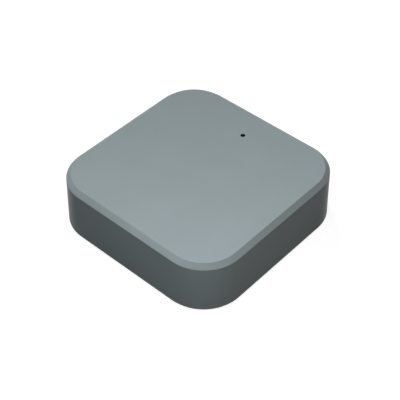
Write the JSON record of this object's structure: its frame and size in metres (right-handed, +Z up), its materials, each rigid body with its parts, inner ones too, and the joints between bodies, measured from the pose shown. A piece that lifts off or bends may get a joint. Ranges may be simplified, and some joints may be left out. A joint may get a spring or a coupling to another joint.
{
  "type": "wireless touch switch",
  "caption": "Square battery-powered wireless touch switch with rounded corners, a bevelled touch face, a pinhole indicator, a hinged battery door and a recessed pairing button.",
  "frame": {"origin": "under the middle of the body, on the plane that its feet stand on", "axes": "+Z up through the touch face, +Y towards the edge with the indicator pinhole, +X to the right when +Y points away"},
  "size_m": [0.07, 0.07, 0.0195],
  "materials": {
    "cover_plastic": "fine spark texture, satin",
    "base_plastic": "fine spark texture, matte",
    "button_plastic": "matte",
    "foot_rubber": "matte",
    "foam": "open cell, matte",
    "cell_metal": "plated, satin",
    "cell_jacket": "shrink sleeve, gloss",
    "nickel_plate": "nickel plated",
    "gold_plate": "flash gold",
    "screw_steel": "zinc plated",
    "lead_red": "satin insulation",
    "lead_black": "satin insulation",
    "board_laminate": "solder mask, semi gloss",
    "package_black": "moulded epoxy, matte",
    "solder_tin": "tinned, satin",
    "shield_tin": "tinned, satin",
    "copper_film": "bare copper",
    "adhesive": "clear film, matte",
    "light_pipe_smoked": "smoked, polished",
    "led_body": "moulded, gloss",
    "capacitor_can": "satin",
    "chip_ceramic": "fired, matte"
  },
  "bodies": {
    "housing": {"antenna_trace": "copper_film", "base_plate": "base_plastic", "battery_1": "cell_metal", "battery_1_jacket": "cell_jacket", "battery_2": "cell_metal", "battery_2_jacket": "cell_jacket", "board_screws": "screw_steel", "bridge_contact": "nickel_plate", "bridge_spring": "nickel_plate", "bulk_capacitor": "capacitor_can", "bulk_capacitor_base": "package_black", "chip_capacitors": "chip_ceramic", "chip_resistors": "package_black", "chip_terminals": "solder_tin", "crystal": "shield_tin", "electrode_adhesive": "adhesive", "electrode_film": "copper_film", "housing_screws": "screw_steel", "light_pipe": "light_pipe_smoked", "main_board": "board_laminate", "negative_contact": "nickel_plate", "negative_lead": "lead_black", "negative_spring": "nickel_plate", "positive_contact": "nickel_plate", "positive_lead": "lead_red", "radio_chip": "package_black", "radio_module_board": "board_laminate", "radio_shield_can": "shield_tin", "rubber_foot_1": "foot_rubber", "rubber_foot_2": "foot_rubber", "rubber_foot_3": "foot_rubber", "rubber_foot_4": "foot_rubber", "status_led": "led_body", "tact_switch_cover": "nickel_plate", "tact_switch_dome": "nickel_plate", "tact_switch_housing": "package_black", "tact_switch_leads": "solder_tin", "top_cover": "cover_plastic", "touch_controller": "package_black", "touch_controller_leads": "solder_tin", "touch_spring_left": "gold_plate", "touch_spring_right": "gold_plate", "voltage_regulator": "package_black", "voltage_regulator_leads": "solder_tin"},
    "battery_door": {"battery_door": "base_plastic", "door_foam_strip": "foam"},
    "pairing_button": {"pairing_button": "button_plastic", "tact_switch_plunger": "button_plastic"}
  },
  "joints": [
    {"name": "battery_door_hinge", "type": "hinge", "parent": "housing", "child": "battery_door", "pos_m": [0, 0.0023, 0.0015], "axis": [1, 0, 0], "range_deg": [0, 95]},
    {"name": "pairing_button_press", "type": "slide", "parent": "housing", "child": "pairing_button", "axis": [0, 0, 1], "range_m": [0, 0.00025], "stiffness_N_per_m": 6400}
  ]
}
